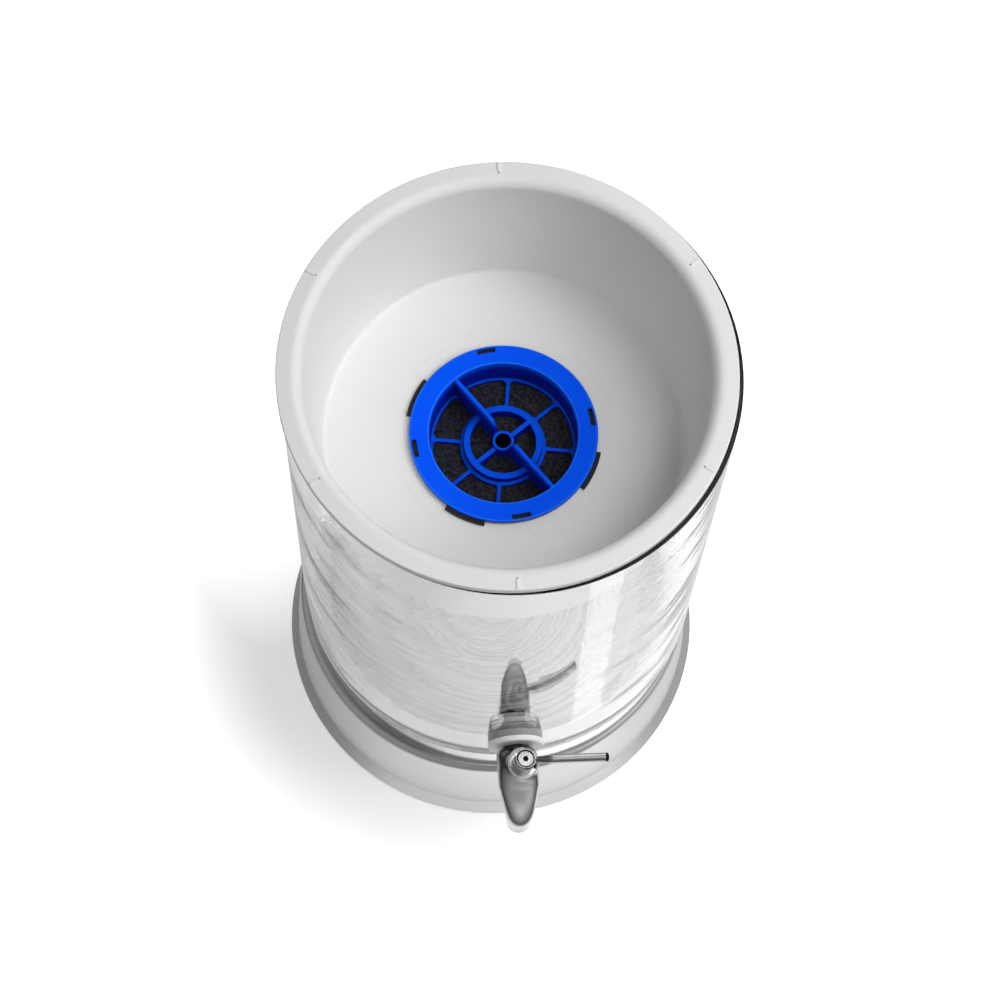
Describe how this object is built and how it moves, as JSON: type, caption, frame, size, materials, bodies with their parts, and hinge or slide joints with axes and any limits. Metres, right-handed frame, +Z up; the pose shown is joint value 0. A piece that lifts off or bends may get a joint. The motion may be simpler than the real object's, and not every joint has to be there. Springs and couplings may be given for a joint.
{
  "type": "gravity water filter with tap",
  "caption": "Glass water filter on a pedestal: water poured into the upper tray runs through a twist-in cartridge into the tank and leaves by a lever tap.",
  "frame": {"origin": "centre of the pedestal's foot, on the worktop", "axes": "+Z up along the pedestal's and the tray's axis; -Y points out of the tap; +X towards the side that the closed lever points to"},
  "size_m": [0.2488, 0.2865, 0.4025],
  "materials": {
    "satin_steel": "satin, lightly brushed",
    "polished_steel": "polished stainless steel",
    "turned_steel": "turned stainless steel",
    "clear_glass": "clear, polished",
    "clear_silicone": "translucent silicone",
    "white_silicone": "white silicone",
    "seal_plastic": "smooth white fluoropolymer",
    "black_rubber": "matt black",
    "pale_plastic": "moulded, fine satin",
    "blue_plastic": "moulded, satin gloss",
    "milky_plastic": "translucent, moulded",
    "dark_fabric": "non-woven felt",
    "pale_foam": "open foam and felt",
    "carbon_grain": "granular carbon",
    "resin_grain": "resin beads"
  },
  "bodies": {
    "stand": {"stand_shell": "satin_steel", "stand_foot_ring": "black_rubber", "stand_seat_pad": "clear_silicone"},
    "vessel": {"collar_band": "polished_steel", "glass_pad": "clear_silicone", "glass_vessel": "clear_glass", "tap_body": "polished_steel", "tap_washer_front": "white_silicone", "tap_washer_back": "clear_silicone", "tap_washer_inner": "clear_silicone", "tap_nut": "turned_steel", "valve_liner": "seal_plastic", "valve_bonnet": "turned_steel"},
    "lever": {"valve_plug": "turned_steel", "plug_o_rings": "black_rubber", "lever_hub": "polished_steel", "lever_rod": "polished_steel", "hub_screw": "turned_steel"},
    "tray": {"tray": "pale_plastic"},
    "seal": {"filter_gasket": "black_rubber"},
    "filter": {"filter_cap": "blue_plastic", "filter_fabric": "dark_fabric", "filter_foam": "pale_foam", "filter_housing": "milky_plastic", "carbon_bed": "carbon_grain", "resin_bed": "resin_grain", "filter_membrane": "pale_foam"}
  },
  "joints": [
    {"name": "vessel_lift", "type": "slide", "parent": "stand", "child": "vessel", "axis": [0, 0, 1], "range_m": [0, 0.08]},
    {"name": "tray_lift", "type": "slide", "parent": "vessel", "child": "tray", "axis": [0, 0, 1], "range_m": [0, 0.22]},
    {"name": "gasket_lift", "type": "slide", "parent": "tray", "child": "seal", "axis": [0, 0, 1], "range_m": [0, 0.14]},
    {"name": "filter_turn", "type": "hinge", "parent": "seal", "child": "filter", "pos_m": [0, 0, 0.3167], "axis": [0, 0, 1], "range_deg": [-32, 0]},
    {"name": "lever_turn", "type": "hinge", "parent": "vessel", "child": "lever", "pos_m": [0.002, -0.1343, 0.1348], "axis": [0.1219, 0, 0.9925], "range_deg": [-90, 0]}
  ]
}
